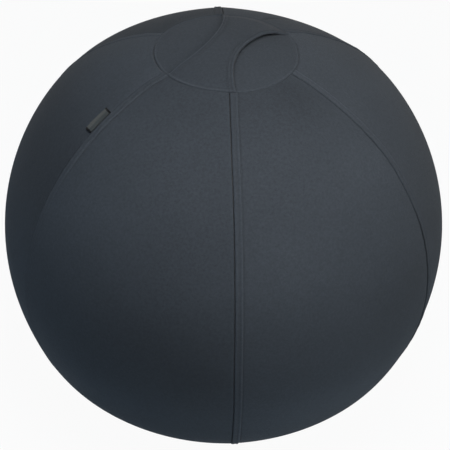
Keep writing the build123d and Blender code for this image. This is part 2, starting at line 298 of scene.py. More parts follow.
# woven cloth, its grain on the piece's own map of cloth lengths in metres
weave = {
    "pitch": 0.00062,  # one thread over and one under
    "threadRelief": 0.00011,
    "bumpStrength": 0.55,
    "melangeSize": 900.0,
    "slubSize": 300.0,
    "dyeSize": 26.0,
    "reliefTone": 0.16,  # share of each of these in how light the cloth is, and their sum on average
    "melangeTone": 0.34,
    "slubTone": 0.42,
    "dyeTone": 0.10,
    "averageTone": 0.51,
    "roughness": 0.87,
    "roughSpread": 0.10,
    "sheen": 0.05,
    "specular": 0.12,
    "dotLevel": 0.42,  # rubber dots of the base: size, darkness, height and gloss
    "dotDark": 0.45,
    "dotHeight": 3.0,
    "dotGloss": 0.30,
}


def wovenCloth(name, colour, contrast=1.0, pitch=weave["pitch"], dotPitch=None):
    cloth = Finish(name)
    across, along = cloth.clothMap()
    turns = 2 * math.pi / pitch
    over = (across * turns).wave() * (along * turns).wave()  # plain weave: threads take turns on top
    ribs = (across * (turns * 2)).wave() * 0.25 + (along * (turns * 2)).wave() * 0.25
    relief = over * 0.5 + ribs + 0.5
    place = cloth.ownPlace()
    melange = cloth.noise(place, weave["melangeSize"], 2.0, 0.6)
    slub = cloth.noise(place, weave["slubSize"], 1.0)
    dye = cloth.noise(place, weave["dyeSize"], 3.0)
    # the cloth's tone, with the painted light and shade set on each piece
    tone = cloth.node("ShaderNodeAttribute", {"attribute_name": "clothToneAndLight"}, {}, "Fac")
    shade = relief * weave["reliefTone"] + melange * weave["melangeTone"] + slub * weave["slubTone"]
    shade = (shade + dye * weave["dyeTone"] - weave["averageTone"]) * contrast + 1.0
    shade = shade * tone
    height = relief + melange * 0.5
    rough = melange * weave["roughSpread"] + weave["roughness"]
    if dotPitch:
        dotTurns = 2 * math.pi / dotPitch
        dots = ((across * dotTurns).wave() * (along * dotTurns).wave()).above(weave["dotLevel"])
        shade = shade * (1 - dots * weave["dotDark"])
        height = height + dots * weave["dotHeight"]
        rough = rough - dots * weave["dotGloss"]
    return cloth.surface(
        {
            "Base Color": cloth.shaded((*colour, 1.0), shade),
            "Roughness": rough,
            "Normal": cloth.bump(weave["bumpStrength"], weave["threadRelief"], height),
            "Specular IOR Level": weave["specular"],
            "Sheen Weight": weave["sheen"],
            "Sheen Roughness": 0.5,
        }
    )


def plainFinish(name, colour, roughness, specular=0.5, grainSize=400.0, grainDepth=0.00003):
    finish = Finish(name)
    grain = finish.noise(finish.ownPlace(), grainSize, 3.0)
    return finish.surface(
        {
            "Base Color": finish.shaded((*colour, 1.0), grain * 0.24 + 0.88),
            "Roughness": grain * 0.2 + (roughness - 0.1),
            "Normal": finish.bump(0.4, grainDepth, grain),
            "Specular IOR Level": specular,
        }
    )


charcoal = (0.0545, 0.0668, 0.0855)
coverCloth = wovenCloth("coverCloth", charcoal)
capCloth = wovenCloth("capCloth", charcoal)
liningCloth = wovenCloth("liningCloth", (0.044, 0.053, 0.068))
baseCloth = wovenCloth("baseCloth", (0.020, 0.021, 0.023), contrast=1.3, pitch=0.0016, dotPitch=0.014)
tapeCloth = wovenCloth("tapeCloth", (0.030, 0.034, 0.040), contrast=1.4, pitch=0.0011)
seamThread = plainFinish("seamThread", (0.057, 0.067, 0.083), 0.8, specular=0.2, grainSize=1500.0)
zipPlastic = plainFinish("zipPlastic", (0.020, 0.021, 0.024), 0.55, specular=0.4)
zipEnamel = plainFinish("zipEnamel", (0.028, 0.028, 0.030), 0.34, specular=0.6, grainSize=900.0)
bladderSkin = plainFinish("bladderSkin", (0.16, 0.17, 0.18), 0.5, grainSize=120.0)
valvePlastic = plainFinish("valvePlastic", (0.74, 0.74, 0.72), 0.38)
sandGrain = plainFinish("sandGrain", (0.45, 0.38, 0.28), 0.9, grainSize=700.0, grainDepth=0.0004)
print("finishes made")


# finishing steps that every new piece shares
def makePiece(name, shape, finish):
    for vert in shape.verts:
        vert.co = drawnRing(vert.co)
    if shape.verts.layers.float.get("clothToneAndLight") is None:
        shade = shape.verts.layers.float.new("clothToneAndLight")
        for vert in shape.verts:
            vert[shade] = 1.0
    mesh = bpy.data.meshes.new(name)
    shape.to_mesh(mesh)
    shape.free()
    mesh.shade_smooth()
    mesh.materials.append(finish)
    piece = bpy.data.objects.new(name, mesh)
    bpy.context.scene.collection.objects.link(piece)
    return piece


def clothGrid(columns, rows, place, grain, tone=None):
    # a flat grid of cloth, each of its points then moved to where it lies
    shape = bmesh.new()
    bmesh.ops.create_grid(shape, x_segments=columns, y_segments=rows, size=1.0)
    lay = shape.loops.layers.uv.new("clothGrain")
    shade = shape.verts.layers.float.new("clothToneAndLight") if tone else None
    stations = {}
    for vert in shape.verts:
        stations[vert] = (round((vert.co.x + 1) / 2 * columns), round((vert.co.y + 1) / 2 * rows))
    for vert, (column, row) in stations.items():
        vert.co = place(column, row)
        if tone:
            vert[shade] = tone(column, row)
    for face in shape.faces:
        for loop in face.loops:
            loop[lay].uv = grain(*stations[loop.vert])
    return shape


def spunCloth(profile, turns):
    # an outline from the axis outward, spun round it, mapped by lengths of cloth seen from above
    shape = bmesh.new()
    verts = [shape.verts.new((radius, 0.0, height)) for radius, height in profile]
    edges = [shape.edges.new(pair) for pair in zip(verts, verts[1:])]
    whole = {"cent": (0, 0, 0), "axis": (0, 0, 1), "angle": 2 * math.pi, "steps": turns, "use_merge": True}
    bmesh.ops.spin(shape, geom=verts + edges, **whole)
    bmesh.ops.remove_doubles(shape, verts=shape.verts, dist=1e-6)
    bmesh.ops.recalc_face_normals(shape, faces=shape.faces)
    lay = shape.loops.layers.uv.new("clothGrain")
    for face in shape.faces:
        for loop in face.loops:
            loop[lay].uv = (loop.vert.co.x, loop.vert.co.y)
    return shape


def faceOut(shape, outward):
    # outward is a direction at the middle of the shape that its faces should look along
    total = Vector()
    for face in shape.faces:
        total += face.normal * face.calc_area()
    if total.dot(outward) < 0:
        bmesh.ops.reverse_faces(shape, faces=shape.faces)


stitch = {"length": 0.0031, "pitch": 0.0038, "thick": 0.00052, "lift": 0.00008}
lyingDown = Matrix.Rotation(math.pi / 2, 4, "Y")


def addStitch(shape, place, forward, up):
    side = forward.cross(up).normalized()
    up = side.cross(forward).normalized()
    turn = Matrix((forward, side, up)).transposed().to_4x4()
    size = Matrix.Diagonal((stitch["length"] / 2, stitch["thick"] / 2, stitch["thick"] / 2, 1.0))
    matrix = Matrix.Translation(place) @ turn @ size @ lyingDown
    bmesh.ops.create_uvsphere(shape, u_segments=6, v_segments=4, radius=1.0, matrix=matrix)


def holdStretched(piece, node):
    # cloth that is stretched over the inner ball
    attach(piece, "ball")
    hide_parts(node)


def makeThreads(name, shape):
    piece = makePiece(name, shape, seamThread)
    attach(piece, "ball")


# six panels of the cover
panelCloth = {
    "names": ["frontRightPanel", "rightPanel", "backRightPanel", "backLeftPanel", "leftPanel", "frontLeftPanel"],
    "replaces": [
        "front_right_panel",
        "right_panel",
        "back_right_panel",
        "back_left_panel",
        "left_panel",
        "front_left_panel",
    ],
    "flat": (0.345, 0.83),
    "flatArea": 0.212,
    "rowSpacing": 0.0042,
    "middleColumns": 34,
    "turnIn": 0.0030,
    "seamGap": 0.00022,
    "rollDepth": 0.0017,  # where the cloth turns down into a seam
    "rollWidth": 0.0009,
    "ringRoll": 0.0002,
    "ringRaise": 0.0006,
    "ringFall": (0.0020, 0.0065),
    "flatAtRing": 2,  # the one panel that isn't raised at the cap's ring
    "lapShape": [  # the lap, puffed up either side of its topstitching, and the dent at its foot
        (0.0009, always, (0.0096, 0.0106)),
        (0.00014, 0.0029, 0.0013),
        (-0.0002, 0.0058, 0.0009),
        (0.00042, 0.0087, 0.0013),
        (-0.0003, 0.0110, 0.0007),
    ],
    # painted highlights on the two puffed ridges of the lap and painted shade in the dent at its foot
    "lapHighlightAndShade": [(0.052, 0.0029, 0.0013), (0.156, 0.0087, 0.0013), (-0.13, 0.0110, 0.0010)],
    "stitchFromSeam": 0.0058,
    "stitchRoom": 0.006,
    "drawn": [0.0003, 0.0003, 0.0003, 0.0003, -0.0012, 0.0003],  # cloth drawn up, or in, towards each seam
    "drawnWidth": 0.024,
    "puckerHeight": 0.00014,
    "puckerWaves": ((1.0, 262, 1.0), (0.7, 417, 2.1), (0.5, 140, 0.0)),  # share, turns along the seam, phase
    "puckerPhase": 1.7,
    "puckerFrom": 0.008,
    "puckerWidth": 0.011,
    "slack": [0.0, 0.0, 0.0030, 0.0014, 0.0, 0.0],  # how far the middle of a panel lies inside its seams
    "slackTilts": [(1.0, (14, 28), (50, 75))],
    "flank": [(0.0014, 115, 7), (-0.0016, 131, 9)],  # swollen by its weight, hollow below
    "napAndShadeTones": [1.0, 1.04, 0.95, 0.88, 0.89, 0.96],  # the nap lies another way in each panel, and painted shade makes the back and left panels, away from the key lamp, darker
    "foldShadeWidth": 0.0014,
    # painted highlight along the folded end of a panel at its seam
    "endHighlight": [(0.04, 0.0025, 0.0015)],
}
nearSeam = [0.0, 0.0, 0.0002, 0.0005, 0.0009, 0.0014, 0.0020, 0.0026, 0.0032, 0.0038]
nearSeam += [0.0045, 0.0050, 0.0054, 0.0058, 0.0062, 0.0066, 0.0072, 0.0078, 0.0084, 0.0090]
nearSeam += [0.0095, 0.0099, 0.0103, 0.0107, 0.0112, 0.0120, 0.0132, 0.0150]
nearEnd = [0.0060, 0.0042, 0.0030, 0.0020, 0.0013, 0.0008, 0.0004, 0.0001, 0.0, 0.0]
nearRing = [0.0, 0.0, 0.0003, 0.0007, 0.0012, 0.0020, 0.0032]
zipWindow = {"topTilt": 58.0, "bottomTilt": 112.0, "halfSlot": 0.0049, "easeTilt": 0.8, "reach": 0.03, "sunk": 0.0004}

# how far each seam was sewn off its true line
seamPulls = {
    0: [(0.0010, always, never), (0.0020, (20, 70), never), (0.0009, (84, 100), never)],
    1: [(-0.0052, always, (14, 48)), (-0.0022, 60, 8), (-0.0100, 42, 21), (-0.0025, 78, 14)],
    2: [(-0.0200, (8, 52), (58, 110))],
    4: [(0.0160, (20, 56), (60, 110)), (-0.0040, 18, 9)],
    5: [
        (0.0040, always, (56, 82)),
        (0.0012, always, (14, 22)),
        (0.0056, 44, 18),
        (-0.0026, 16, 5),
        (0.0020, 75, 14),
    ],
}

# how seams depart from full relief, from a full fold and from the plain painted light on their laps, and the painted
# shade in their folds
seamChanges = {
    "relief": {4: [(-0.45, always, never)], 5: [(-0.9, (42, 64), never)]},
    "fold": {1: [(0.6, (62, 74), never)], 5: [(-0.92, (42, 64), never)]},
    "lapLightChange": {1: [(0.7, always, (20, 45))], 5: [(0.8, always, never)]},
    # painted shade in the fold of a seam
    "foldShade": {1: [(0.5, (60, 72), never)]},
}

# painted light and shade on each panel, lighter or darker from its top to its foot as the lamps fall on it
paintedLightSlopes = {
    0: [(0.06, 50, 18), (-0.05, (68, 90), never)],
    1: [(0.12, always, (18, 38))],
    3: [(-0.14, always, (28, 48))],
    4: [(0.20, always, (16, 44)), (0.06, (62, 80), never), (-0.12, 54, 15)],
    5: [(0.07, 48, 20), (-0.06, (66, 90), never)],
}

# soft patches of painted light and shade on each panel: amount, tilt and its width, share across the panel and its
# width
paintedLightPatches = {
    0: [
        (-0.10, 16, 6, 0.20, 0.50),
        (-0.15, 17, 8, 0.75, 0.25),
        (0.11, 46, 10, 0.85, 0.20),
        (0.14, 63, 9, 0.20, 0.28),
        (-0.12, 80, 9, 0.80, 0.25),
        (0.22, 105, 8, 0.40, 0.45),
    ],
    1: [(-0.10, 19, 7, 0.15, 0.25), (0.15, 42, 14, 0.65, 0.30), (-0.15, 73, 12, 0.12, 0.20)],
    4: [(-0.09, 25, 8, 0.85, 0.20)],
    5: [
        (-0.08, 16, 6, 0.50, 0.60),
        (0.12, 57, 8, 0.25, 0.30),
        (-0.13, 80, 9, 0.68, 0.28),
        (-0.11, 90, 6, 0.88, 0.15),
        (0.12, 104, 7, 0.60, 0.50),
        (0.08, 66, 6, 0.92, 0.12),
    ],
}

# a fold that the back end of the handle draws in the cloth of one panel
crease = {
    "panel": 2,
    "azimuth": 147.0,
    "fromTilt": 14.5,
    "turn": -0.36,
    "tilts": [(1.0, (13, 16), (19, 26))],
    "depth": 0.0015,
    "width": 0.0026,
    # painted shade in the crease
    "foldShade": 0.30,
}


def seamAzimuth(seam, tilt):
    pull = sumTerms(seamPulls.get(seam % ballForm["seamCount"], ()), tilt)
    return seam * ballForm["seamSpacing"] + math.degrees(pull / outlinePoint(tilt)[0])


def seamChange(kind, seam, tilt):
    return sumTerms(seamChanges[kind].get(seam % ballForm["seamCount"], ()), tilt)


def panelRows():
    between = panelLength - 2 * nearRing[-1]
    count = round(between / panelCloth["rowSpacing"])
    middle = [nearRing[-1] + between / count * index for index in range(1, count)]
    return nearRing + middle + [panelLength - value for value in reversed(nearRing)]


rowLengths = panelRows()
rowTilts = [tiltAlong(panelRun, min(max(length, 0.0), panelLength)) for length in rowLengths]


def zipOpen(tilt):
    top, bottom, soft = zipWindow["topTilt"], zipWindow["bottomTilt"], zipWindow["easeTilt"]
    return ease(top - soft, top, tilt) * (1 - ease(bottom, bottom + soft, tilt))


def zipNear(distance):
    return math.exp(-((distance / zipWindow["reach"]) ** 4))


def puckerAt(length, phase):
    waves = sum(share * math.sin(length * rate + phase * turn) for share, rate, turn in panelCloth["puckerWaves"])
    return waves * panelCloth["puckerHeight"]


def goreSag(index, tilt, share):
    # between its seams a panel lies a little flatter than round
    slack = panelCloth["slack"][index] * sumTerms(panelCloth["slackTilts"], tilt)
    return sumTerms(panelCloth["flank"], tilt) - slack * 4 * share * (1 - share)


def creaseAt(index, tilt, azimuth):
    if index != crease["panel"]:
        return 0.0
    middle = crease["azimuth"] + crease["turn"] * (tilt - crease["fromTilt"])
    away = outlinePoint(tilt)[0] * math.radians(azimuth - middle)
    return bell(0.0, crease["width"], away) * sumTerms(crease["tilts"], tilt)


def seamRelief(index, tilt, fromStart, toEnd, length):
    cloth = panelCloth
    after = (index + 1) % ballForm["seamCount"]
    phase = index * cloth["puckerPhase"]
    past = max(0.0, fromStart - cloth["puckerFrom"])
    near = puckerAt(length, phase) * math.exp(-past / cloth["puckerWidth"])
    far = puckerAt(length, phase + 2.0) * math.exp(-toEnd / cloth["puckerWidth"])
    drawn = cloth["drawn"][index] * math.exp(-fromStart / cloth["drawnWidth"])
    drawn += cloth["drawn"][after] * math.exp(-toEnd / cloth["drawnWidth"])
    relief = (sumTerms(cloth["lapShape"], fromStart) + near) * (1 + seamChange("relief", index, tilt))
    return relief + drawn + far * (1 + seamChange("relief", after, tilt))


def edgeRoll(distance, depth):
    share = max(0.0, 1 - distance / panelCloth["rollWidth"])
    return depth * share * share


def panelHeight(index, tilt, fromStart, toEnd, fromRing, length, startOpen, endOpen):
    cloth = panelCloth
    startRoll = edgeRoll(fromStart, cloth["rollDepth"] * (1 + seamChange("fold", index, tilt)))
    endRoll = edgeRoll(toEnd, cloth["rollDepth"] * (1 + seamChange("fold", index + 1, tilt)))
    roll = max(startRoll, endRoll, edgeRoll(fromRing, cloth["ringRoll"]))
    shut = (1 - startOpen * zipNear(fromStart)) * (1 - endOpen * zipNear(toEnd))
    raised = 0.0
    if index != cloth["flatAtRing"]:
        raised = cloth["ringRaise"] * (1 - ease(*cloth["ringFall"], fromRing))
    relief = seamRelief(index, tilt, fromStart, toEnd, length)
    return relief * shut + raised - roll - zipWindow["sunk"] * (1 - shut)


def seamPaintedLight(index, tilt, fromStart, toEnd):
    # painted highlights on the ridges of a seam's lap and along the folded end of a panel, and painted shade at the
    # lap's foot and in the seam's fold
    cloth = panelCloth
    lapLight = (1 + seamChange("relief", index, tilt)) * (1 + seamChange("lapLightChange", index, tilt))
    foldShade = seamChange("foldShade", index, tilt) * bell(0.0, cloth["foldShadeWidth"], fromStart)
    foldShade += seamChange("foldShade", index + 1, tilt) * bell(0.0, cloth["foldShadeWidth"], toEnd)
    return 1 + lapLight * sumTerms(cloth["lapHighlightAndShade"], fromStart) - foldShade + sumTerms(cloth["endHighlight"], toEnd)


def napAndPaintedLight(index, tilt, share):
    # the nap of each panel, with painted light and shade over it
    tone = panelCloth["napAndShadeTones"][index] + sumTerms(paintedLightSlopes.get(index, ()), tilt)
    for amount, middle, width, place, spread in paintedLightPatches.get(index, ()):
        tone += amount * bell(middle, width, tilt) * bell(place, spread, share)
    return tone


def panelSpan(index, tilt):
    radius, height = outlinePoint(tilt)
    startAzimuth = seamAzimuth(index, tilt)
    width = radius * math.radians(seamAzimuth(index + 1, tilt) - startAzimuth)
    startOpen = zipOpen(tilt) if index == 3 else 0.0  # the zip lies between the third and fourth panels
    endOpen = zipOpen(tilt) if index == 2 else 0.0
    first = zipWindow["halfSlot"] * startOpen + panelCloth["seamGap"]
    last = width - zipWindow["halfSlot"] * endOpen - panelCloth["seamGap"]
    return radius, height, startAzimuth, width, first, last, startOpen, endOpen


def makePanel(index):
    cloth = panelCloth
    columns = len(nearSeam) + cloth["middleColumns"] + len(nearEnd) - 1
    rows = len(rowLengths) - 1
    spans = [panelSpan(index, tilt) for tilt in rowTilts]

    def across(column, row):
        first, last = spans[row][4:6]
        if column < len(nearSeam):
            return first + nearSeam[column]
        rest = column - len(nearSeam) - cloth["middleColumns"]
        if rest >= 0:
            return last - nearEnd[rest]
        low, high = first + nearSeam[-1], last - nearEnd[0]
        return low + (high - low) * (column - len(nearSeam) + 1) / (cloth["middleColumns"] + 1)

    def place(column, row):
        radius, height, startAzimuth, width, first, last, startOpen, endOpen = spans[row]
        where, length, tilt = across(column, row), rowLengths[row], rowTilts[row]
        azimuth = startAzimuth + math.degrees(where / radius)
        if column in (0, columns) or row in (0, rows):
            lift = -cloth["turnIn"]
        else:
            fromRing = min(length, panelLength - length)
            lift = panelHeight(index, tilt, where - first, last - where, fromRing, length, startOpen, endOpen)
            lift += goreSag(index, tilt, where / width) - crease["depth"] * creaseAt(index, tilt, azimuth)
        out, up = normalAt(tilt)
        return aroundAxis(radius + lift * out, height + lift * up, azimuth)

    def grain(column, row):
        return across(column, row) - spans[row][3] / 2, rowLengths[row]

    def tone(column, row):
        radius, height, startAzimuth, width, first, last = spans[row][:6]
        where, tilt = across(column, row), rowTilts[row]
        # painted shade in the crease, times the nap with its painted light and shade, times the painted light and
        # shade at the seams
        foldShade = 1 - crease["foldShade"] * creaseAt(index, tilt, startAzimuth + math.degrees(where / radius))
        return foldShade * napAndPaintedLight(index, tilt, where / width) * seamPaintedLight(index, tilt, where - first, last - where)

    shape = clothGrid(columns, rows, place, grain, tone)
    faceOut(shape, aroundAxis(1.0, 0.0, (index + 0.5) * ballForm["seamSpacing"]))
    panel = makePiece(cloth["names"][index], shape, coverCloth)
    holdStretched(panel, cloth["replaces"][index])


def makeSeamStitches(index):
    shape = bmesh.new()
    where = panelCloth["stitchFromSeam"]
    room = panelCloth["stitchRoom"]
    for step in range(int((panelLength - 2 * room) / stitch["pitch"])):
        length = room + stitch["pitch"] * (step + 0.5)
        tilt = tiltAlong(panelRun, length)
        radius, height, startAzimuth, width, first, last, startOpen, endOpen = panelSpan(index, tilt)
        if startOpen > 0:
            continue
        out, up = normalAt(tilt)
        lift = panelHeight(index, tilt, where, width - where, 1.0, length, 0.0, 0.0)
        lift += goreSag(index, tilt, where / width) + stitch["lift"]
        azimuth = startAzimuth + math.degrees((first + where) / radius)
        spot = aroundAxis(radius + lift * out, height + lift * up, azimuth)
        addStitch(shape, spot, aroundAxis(up, -out, azimuth), aroundAxis(out, up, azimuth))
    makeThreads("seamStitches" + str(index), shape)


for index in range(ballForm["seamCount"]):
    makePanel(index)
    makeSeamStitches(index)
print("cover panels and their topstitching made")


# carrying handle, in two halves
handleStrap = {
    "azimuth": -30.0,
    "reach": 0.0976,
    "leftEdge": (0.0210, 0.168, 0.012),  # half width at the waist, bow of the edge, where the waist sits
    "rightEdge": (0.0265, 0.123, -0.002),
    "gap": 0.0026,
    "footLift": 0.0003,
    "endThick": 0.0006,
    "thick": 0.0032,
    "thickens": (0.003, 0.022),
    "liningThick": (0.0001, 0.0008),  # at the sewn end, and added to it in the middle
    "liningShare": 0.985,
    "liningColumns": 20,
    "liningWidth": 0.04,
    "hemShape": [  # the hem, its stitching and the edge of its binding
        (0.0005, always, (0.0074, 0.0094)),
        (-0.00035, 0.0077, 0.0008),
        (-0.0003, 0.0033, 0.0007),
    ],
    "hemStarts": (0.0, 0.008),
    "stitchFromEdge": 0.0077,
    "stitchRun": 0.094,
    "stitchShare": 0.965,
    "lipShape": [(0.0004, always, (0.0024, 0.0044))],
    "edgeRoll": (0.0008, 0.0022, 0.0012),  # depth at the sewn end, added to it along the edge, width
    "edgeStarts": (0.0, 0.012),
    "ringRoll": (0.0004, 0.0013),
    "backCurl": 0.0020,  # the right edge stands open near the back
    "curlAlong": (0.58, 0.24),
    "curlWidth": 0.016,
    "tone": 0.91,
    # painted shade along the edge of the hem's binding and along its stitching
    "lineShade": [(-0.17, 0.0033, 0.0007), (-0.119, 0.0077, 0.0009)],
    # painted highlight on the rolled rim of each edge, stronger on the left
    "leftRimHighlight": [(0.30, 0.0015, 0.0011)],
    "rightRimHighlight": [(0.16, 0.0015, 0.0011)],
    "toneStarts": (0.0, 0.006),
    # painted highlight at the front sewn end, painted shade at the back one
    "frontEndHighlight": [(0.20, 0.0022, 0.0011)],
    "backEndShade": [(-0.03, 0.0022, 0.0011)],
    "rows": 44,
    "middleColumns": 16,
    "flat": (0.112, 0.106),
    "flatArea": 0.0079,
}
strapAcross = [0.0, 0.0001, 0.0003, 0.0006, 0.0010, 0.0015, 0.0021, 0.0026, 0.0030, 0.0033, 0.0036, 0.0041]
strapAcross += [0.0050, 0.0060, 0.0068, 0.0073, 0.0077, 0.0081, 0.0086, 0.0095]
strapRows = [0.95 * step / handleStrap["rows"] for step in range(handleStrap["rows"])]
strapRows += [0.95, 0.958, 0.966, 0.972, 0.978, 0.983, 0.987, 0.990, 0.993, 0.996, 0.998, 1.0]
strapColumns = 2 * len(strapAcross) + handleStrap["middleColumns"] - 1
strapTop = outlinePoint(0.0)[1] + handleStrap["gap"]
strapFoot = outlinePoint(ballForm["capTilt"])[1] + handleStrap["footLift"]
strapDrop = strapTop - strapFoot
strapBow = (ballForm["capRing"] ** 2 + strapDrop**2) / (2 * strapDrop)
strapSide = aroundAxis(1.0, 0.0, handleStrap["azimuth"] + 90.0)


def strapForward(end):
    return aroundAxis(1.0, 0.0, handleStrap["azimuth"] + (180.0 if end else 0.0))


def strapEdge(along, right):
    waist, bow, shift = handleStrap["rightEdge" if right else "leftEdge"]
    return waist + bow - math.sqrt(bow**2 - (along - shift) ** 2)


def strapCorner(right, end):
    # how far along an edge meets the ring
    low, high = 0.05, handleStrap["reach"]
    for halving in range(40):
        along = (low + high) / 2
        if math.hypot(along, strapEdge(-along if end else along, right)) < handleStrap["reach"]:
            low = along
        else:
            high = along
    return low


strapCorners = {(right, end): strapCorner(right, end) for right in (False, True) for end in (False, True)}


def strapWidth(share, right, end):
    along = share * strapCorners[right, end]
    return strapEdge(-along if end else along, right)


def strapSpot(share, offset, end):
    # share runs from the middle to the sewn end, offset from -1 at the left edge to 1 at the right
    right = offset > 0
    sideways = offset * strapWidth(1.0, right, end)
    along = share * math.sqrt(handleStrap["reach"] ** 2 - sideways**2)
    return strapForward(end) * along + strapSide * (offset * strapWidth(share, right, end))


def strapUnder(spot):
    return strapTop - strapBow + math.sqrt(strapBow**2 - spot.x**2 - spot.y**2)


def strapCurl(share, toEdge):
    strap = handleStrap
    return strap["backCurl"] * bell(*strap["curlAlong"], share) * bell(0.0, strap["curlWidth"], toEdge)


def strapLift(share, toEdge, curled):
    strap = handleStrap
    toRing = (1 - share) * strap["reach"]
    body = strap["endThick"] + (strap["thick"] - strap["endThick"]) * ease(*strap["thickens"], toRing)
    body += sumTerms(strap["lipShape"], toRing)
    if curled:
        body += strapCurl(share, toEdge)
    endDepth, sideDepth, rollWidth = strap["edgeRoll"]
    roll = (endDepth + sideDepth * ease(*strap["edgeStarts"], toRing)) * max(0.0, 1 - toEdge / rollWidth) ** 2
    ringDepth, ringWidth = strap["ringRoll"]
    roll += ringDepth * max(0.0, 1 - toRing / ringWidth) ** 2
    return body + sumTerms(strap["hemShape"], toEdge) * ease(*strap["hemStarts"], toRing) - roll


def strapToneAndLight(share, toEdge, right, end):
    # the strap's tone, with painted highlights on its rims and front end and painted shade along its hem lines
    strap = handleStrap
    toRing = (1 - share) * strap["reach"]
    rim = sumTerms(strap["rightRimHighlight" if right else "leftRimHighlight"], toEdge) * ease(*strap["toneStarts"], toRing)
    sewn = sumTerms(strap["backEndShade" if end else "frontEndHighlight"], toRing)
    return strap["tone"] + rim + sumTerms(strap["lineShade"], toEdge) + sewn


def strapOffset(column, row, end):
    half = len(strapAcross)
    leftWidth, rightWidth = (strapWidth(strapRows[row], right, end) for right in (False, True))
    if column < half:
        return -1 + strapAcross[column] / leftWidth
    if column > strapColumns - half:
        return 1 - strapAcross[strapColumns - column] / rightWidth
    low, high = -1 + strapAcross[-1] / leftWidth, 1 - strapAcross[-1] / rightWidth
    return low + (high - low) * (column - half + 1) / (handleStrap["middleColumns"] + 1)


def makeStrapHalf(end):
    strap = handleStrap
    name = "Back" if end else "Front"

    def toEdge(column, row):
        offset = strapOffset(column, row, end)
        return strapWidth(strapRows[row], offset > 0, end) * (1 - abs(offset))

    def place(column, row):
        offset = strapOffset(column, row, end)
        spot = strapSpot(strapRows[row], offset, end)
        spot.z = strapUnder(spot) + strapLift(strapRows[row], toEdge(column, row), end and offset > 0)
        return spot

    def grain(column, row):
        offset = strapOffset(column, row, end)
        along = strapRows[row] * strap["reach"]
        return offset * strapWidth(strapRows[row], offset > 0, end), -along if end else along

    def tone(column, row):
        return strapToneAndLight(strapRows[row], toEdge(column, row), strapOffset(column, row, end) > 0, end)

    def liningOffset(column):
        return 2 * column / strap["liningColumns"] - 1

    def liningPlace(column, row):
        share, offset = strapRows[row], liningOffset(column)
        spot = strapSpot(share, offset * strap["liningShare"], end)
        endLift, lift = strap["liningThick"]
        spot.z = strapUnder(spot) + endLift + lift * ease(*strap["thickens"], (1 - share) * strap["reach"])
        if end and offset > 0:
            spot.z += strapCurl(share, strapWidth(share, True, end) * (1 - offset))
        return spot

    def liningGrain(column, row):
        return liningOffset(column) * strap["liningWidth"], strapRows[row] * strap["reach"]

    foot = strapForward(end) * strap["reach"] + Vector((0.0, 0.0, strapFoot))
    shape = clothGrid(strapColumns, len(strapRows) - 1, place, grain, tone)
    faceOut(shape, Vector((0, 0, 1)))
    face = makePiece("handleFace" + name, shape, capCloth)
    lining = clothGrid(strap["liningColumns"], len(strapRows) - 1, liningPlace, liningGrain)
    faceOut(lining, Vector((0, 0, -1)))
    under = makePiece("handleLining" + name, lining, liningCloth)
    for piece, node in ((face, "handle_face"), (under, "handle_lining")):
        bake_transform(piece)
        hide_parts(node)
    threads = bmesh.new()
    for side in (-1, 1):
        addStrapStitches(threads, side, end)
    threads = makePiece("handleStitches" + name, threads, seamThread)
    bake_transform(threads)


def strapStitchSpot(share, side, end):
    inside = handleStrap["stitchFromEdge"]
    spot = strapSpot(share, side * (1 - inside / strapWidth(share, side > 0, end)), end)
    spot.z = strapUnder(spot) + strapLift(share, inside, end and side > 0) + stitch["lift"]
    return spot


def addStrapStitches(shape, side, end):
    count = int(handleStrap["stitchRun"] / stitch["pitch"])
    for step in range(count):
        share = handleStrap["stitchShare"] * (step + 0.5) / count
        spot = strapStitchSpot(share, side, end)
        ahead = strapStitchSpot(share + 0.004, side, end)
        addStitch(shape, spot, (ahead - spot).normalized(), Vector((0, 0, 1)))


# round under the handle, and the round that the ball stands on
capRound = {
    "flat": (0.200, 0.200),
    "flatArea": 0.0306,
    "turns": 240,
    "seamGap": 0.00015,
    "rings": 26,
    "ringShare": 0.94,
    "nearRing": (0.0052, 0.0046, 0.0040, 0.0033, 0.0025, 0.0018, 0.0012, 0.0007, 0.0003, 0.0),
    "lipShape": [(0.0006, always, (0.0022, 0.0042))],
    "roll": (0.0004, 0.0013),
    "turnIn": 0.003,
    "tone": 0.98,
    # painted highlight on the raised lip by the ring
    "lipHighlight": [(0.16, 0.0956, 0.0011)],
    "leftShade": [(0.13, 0.0, 0.0095), (0.16, 0.0, 0.0030)],  # painted shadow of the handle on the cloth beside its left edge
    "leftShadeFrom": -0.004,
    # painted shadow in the gap under the handle's right edge
    "rightShade": [(0.34, 0.0, 0.0018)],
}
baseRound = {
    "flat": (0.204, 0.204),
    "flatArea": 0.0318,
    "turns": 192,
    "nearRing": (0.0001, 0.0003, 0.0007, 0.0012, 0.0020, 0.0035, 0.0060, 0.0090),
    "lipShape": [(0.0003, always, (0.004, 0.008))],
    "roll": (0.0014, 0.0013),
    "turnIn": 0.003,
    "bendFrom": 0.0115,
    "footShares": (0.9, 0.75, 0.6, 0.45, 0.3, 0.15, 0.0),
}


def roundLift(form, toRing):
    depth, width = form["roll"]
    return sumTerms(form["lipShape"], toRing) - depth * max(0.0, 1 - toRing / width) ** 2


def capToneAndShadow(spot):
    # the round's tone, with a painted highlight on its lip and the handle's painted shadow
    along, sideways = spot.dot(strapForward(False)), spot.dot(strapSide)
    left = -sideways - strapEdge(along, False)
    right = sideways - strapEdge(along, True)
    shade = sumTerms(capRound["rightShade"], right)
    if left > capRound["leftShadeFrom"]:
        shade += sumTerms(capRound["leftShade"], left)
    return capRound["tone"] + sumTerms(capRound["lipHighlight"], spot.xy.length) - shade


